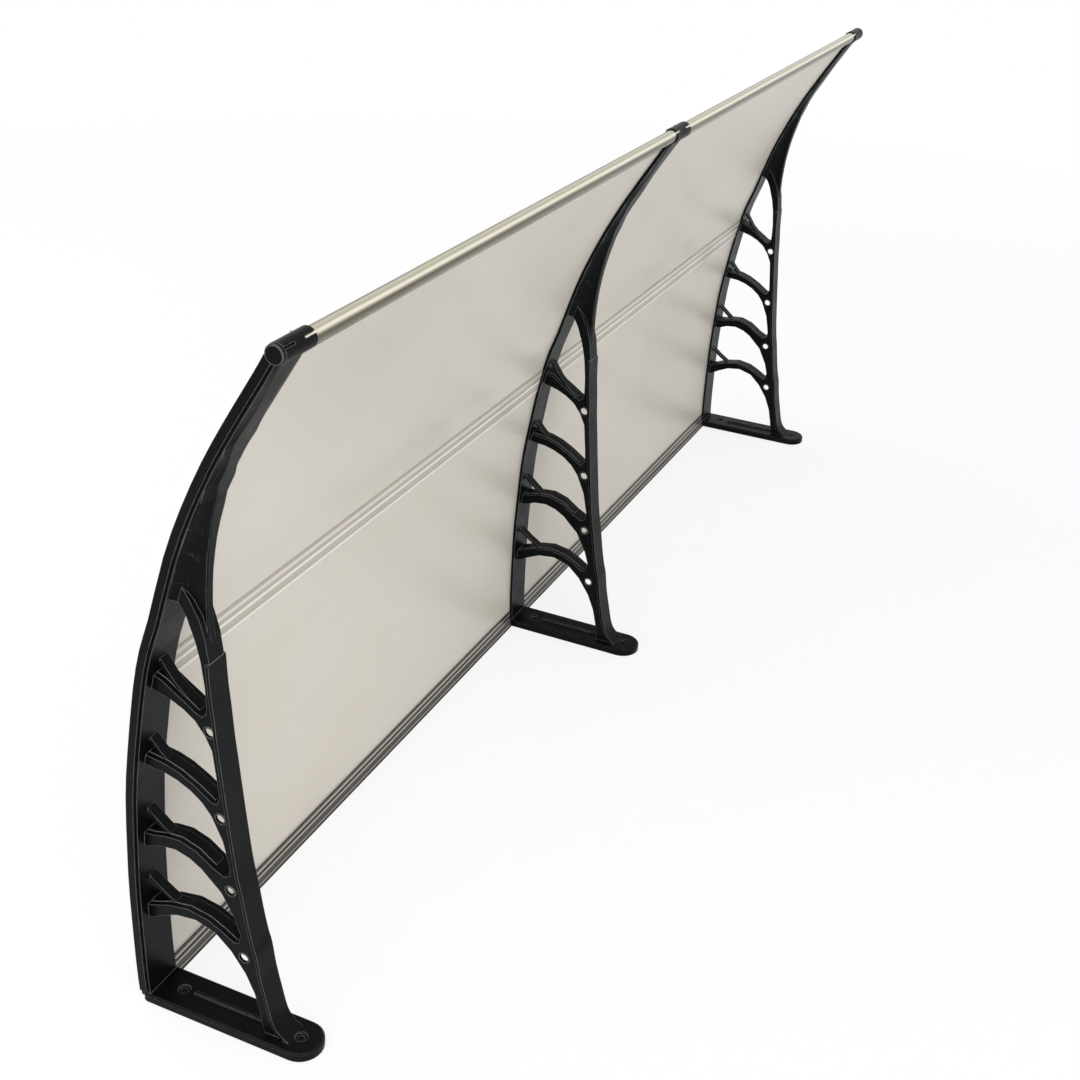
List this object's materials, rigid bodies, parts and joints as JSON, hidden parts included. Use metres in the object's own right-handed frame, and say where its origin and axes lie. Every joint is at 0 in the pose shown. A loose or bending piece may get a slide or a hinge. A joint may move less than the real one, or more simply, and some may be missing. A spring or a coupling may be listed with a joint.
{
  "type": "door canopy awning",
  "caption": "Wall-mounted door canopy: curved milky twin-wall sheets held in slotted black arched brackets, with an aluminium front bar and a rear wall rail.",
  "frame": {"origin": "centre of the middle bracket's wall plate, on its wall face", "axes": "+X along the canopy to the right bracket, +Z out from the wall (the canopy's projection), +Y towards the sheet side, which is up in use"},
  "size_m": [2.019, 0.2397, 0.8707],
  "materials": {
    "black_plastic": "semi-gloss moulded black plastic",
    "champagne_aluminium": "satin champagne anodised",
    "bronze_aluminium": "satin dark bronze anodised",
    "milky_sheet": "translucent milky twin-wall sheet",
    "joint_profile": "translucent extruded profile",
    "black_rubber": "matt black",
    "zinc_steel": "zinc plated"
  },
  "bodies": {
    "root": {"bracket_left": "black_plastic", "bracket_middle": "black_plastic", "bracket_right": "black_plastic", "end_cover_left": "black_plastic", "end_cover_right": "black_plastic", "front_bar_left": "champagne_aluminium", "front_bar_right": "champagne_aluminium", "rear_rail_left": "bronze_aluminium", "rear_rail_right": "bronze_aluminium", "rear_seal_left": "black_rubber", "rear_seal_right": "black_rubber", "panel_lower_left": "milky_sheet", "panel_lower_right": "milky_sheet", "panel_upper_left": "milky_sheet", "panel_upper_right": "milky_sheet", "joint_strip_left": "joint_profile", "joint_strip_right": "joint_profile", "bar_screw_left_a": "zinc_steel", "bar_screw_left_b": "zinc_steel", "bar_screw_right_a": "zinc_steel", "bar_screw_right_b": "zinc_steel"}
  },
  "joints": []
}
